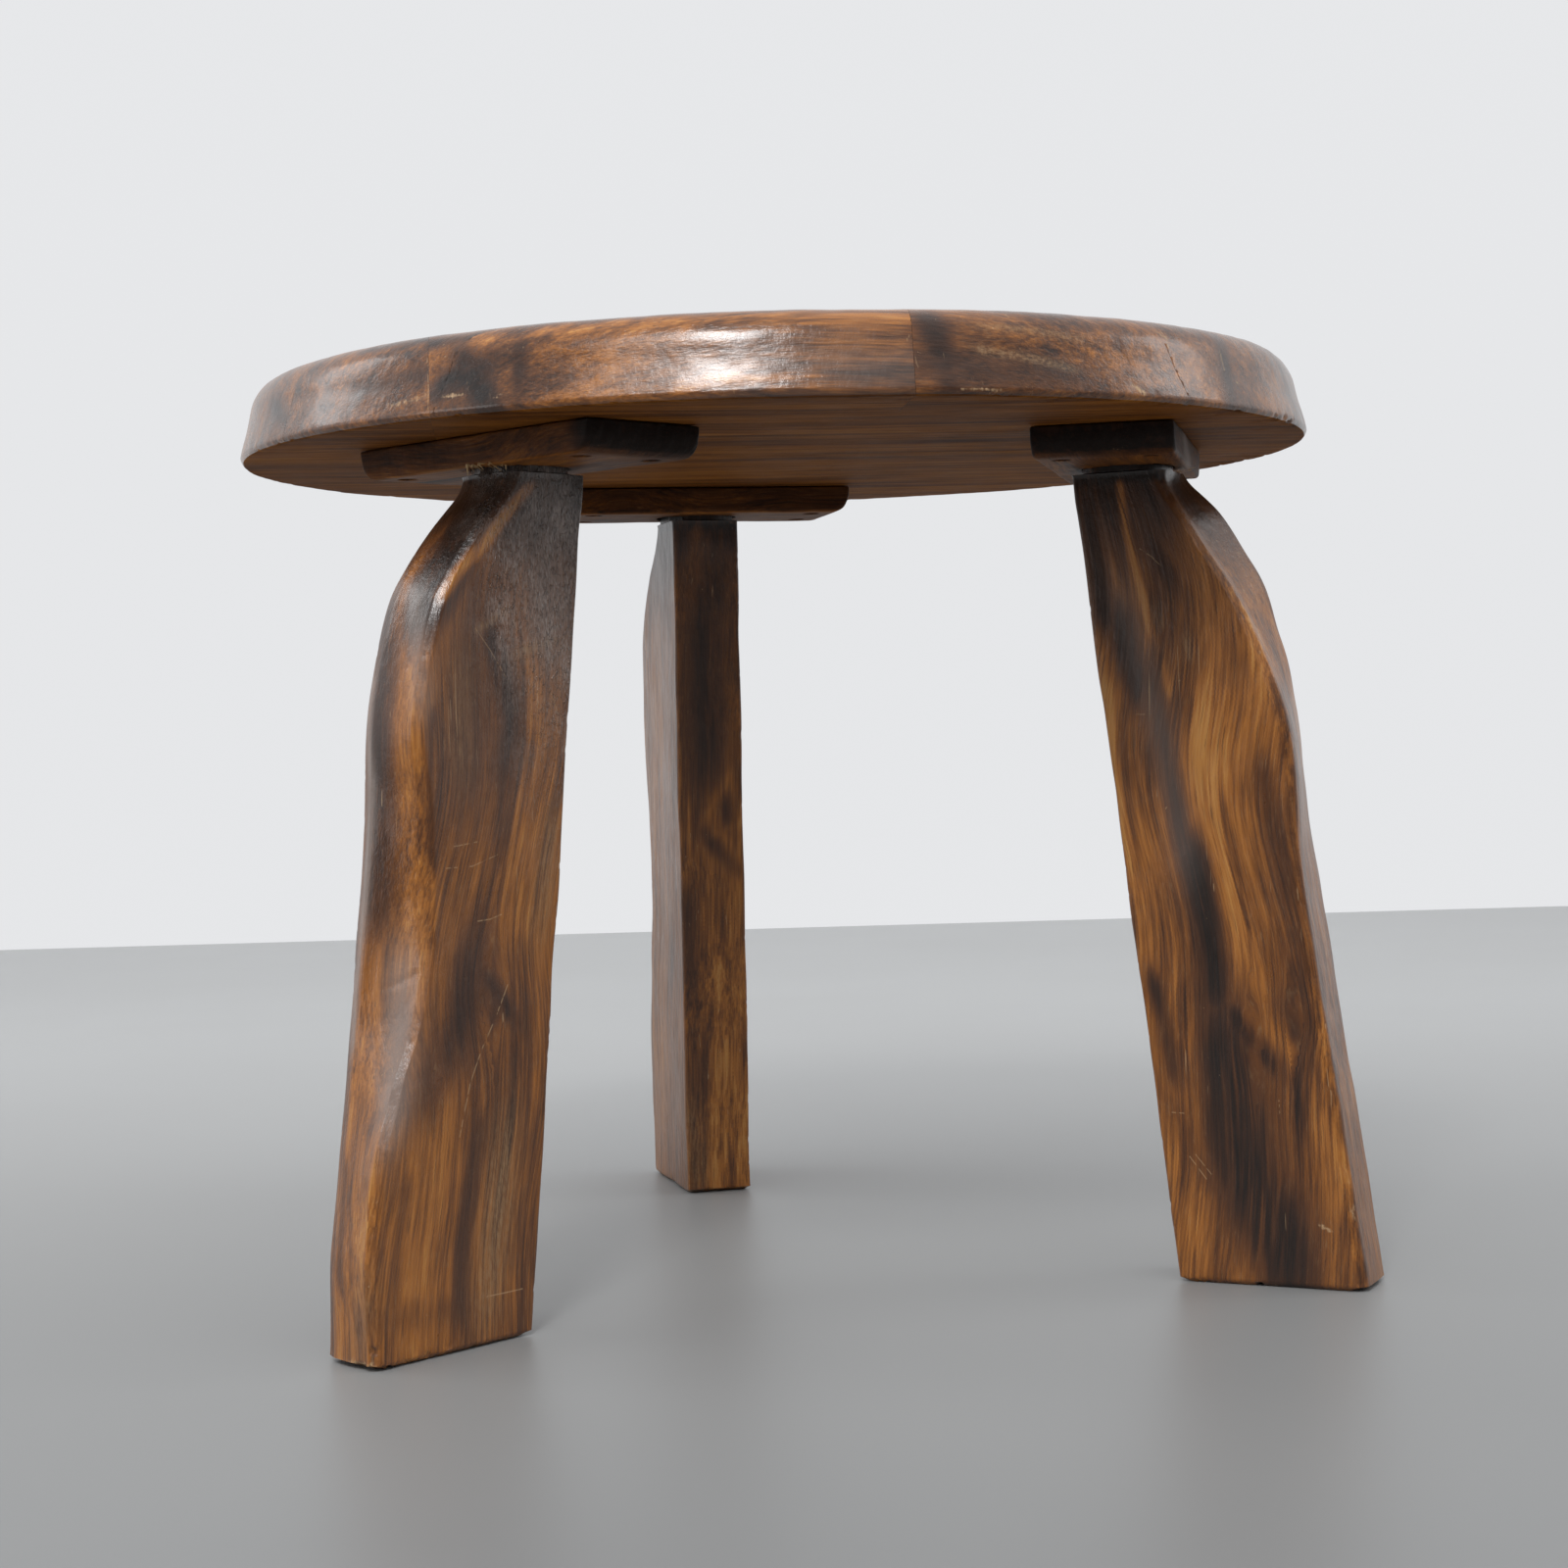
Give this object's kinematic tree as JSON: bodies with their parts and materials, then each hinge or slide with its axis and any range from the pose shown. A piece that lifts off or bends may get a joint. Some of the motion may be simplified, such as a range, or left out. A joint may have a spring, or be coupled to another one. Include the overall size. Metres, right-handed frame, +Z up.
{
  "type": "cricket table",
  "caption": "Low round side table of edge-glued hardwood boards on carved plank legs tenoned into mounting blocks under the top.",
  "frame": {"origin": "on the floor, under the middle of the table's plan with its top and feet together", "axes": "+Z up, square to the top; -Y the side that the picture looks from, +X to that view's right"},
  "size_m": [0.6146, 0.63, 0.501],
  "materials": {
    "board_wood": "dark stained hardwood under satin lacquer, worn on the lower rim",
    "block_wood": "near-black stained hardwood, thin satin lacquer, rough end grain",
    "leg_wood": "dark stained hardwood under satin lacquer, rubbed and chipped along the edges",
    "dowel_wood": "bare turned hardwood",
    "screw_steel": "dull tarnished steel"
  },
  "bodies": {
    "root": {"top_board_1": "board_wood", "top_board_2": "board_wood", "top_board_3": "board_wood", "top_board_4": "board_wood", "top_board_5": "board_wood", "top_board_6": "board_wood", "top_board_7": "board_wood", "top_board_8": "board_wood", "seam_1_dowel_1": "dowel_wood", "seam_1_dowel_2": "dowel_wood", "seam_2_dowel_1": "dowel_wood", "seam_2_dowel_2": "dowel_wood", "seam_3_dowel_1": "dowel_wood", "seam_3_dowel_2": "dowel_wood", "seam_4_dowel_1": "dowel_wood", "seam_4_dowel_2": "dowel_wood", "seam_5_dowel_1": "dowel_wood", "seam_5_dowel_2": "dowel_wood", "seam_6_dowel_1": "dowel_wood", "seam_6_dowel_2": "dowel_wood", "seam_7_dowel_1": "dowel_wood", "seam_7_dowel_2": "dowel_wood", "leg_block_front_left": "block_wood", "leg_block_right": "block_wood", "leg_block_rear": "block_wood", "leg_front_left": "leg_wood", "leg_right": "leg_wood", "leg_rear": "leg_wood", "screw_front_left_1": "screw_steel", "screw_front_left_2": "screw_steel", "screw_front_left_3": "screw_steel", "screw_front_left_4": "screw_steel", "screw_right_1": "screw_steel", "screw_right_2": "screw_steel", "screw_right_3": "screw_steel", "screw_right_4": "screw_steel", "screw_rear_1": "screw_steel", "screw_rear_2": "screw_steel", "screw_rear_3": "screw_steel", "screw_rear_4": "screw_steel"}
  },
  "joints": []
}
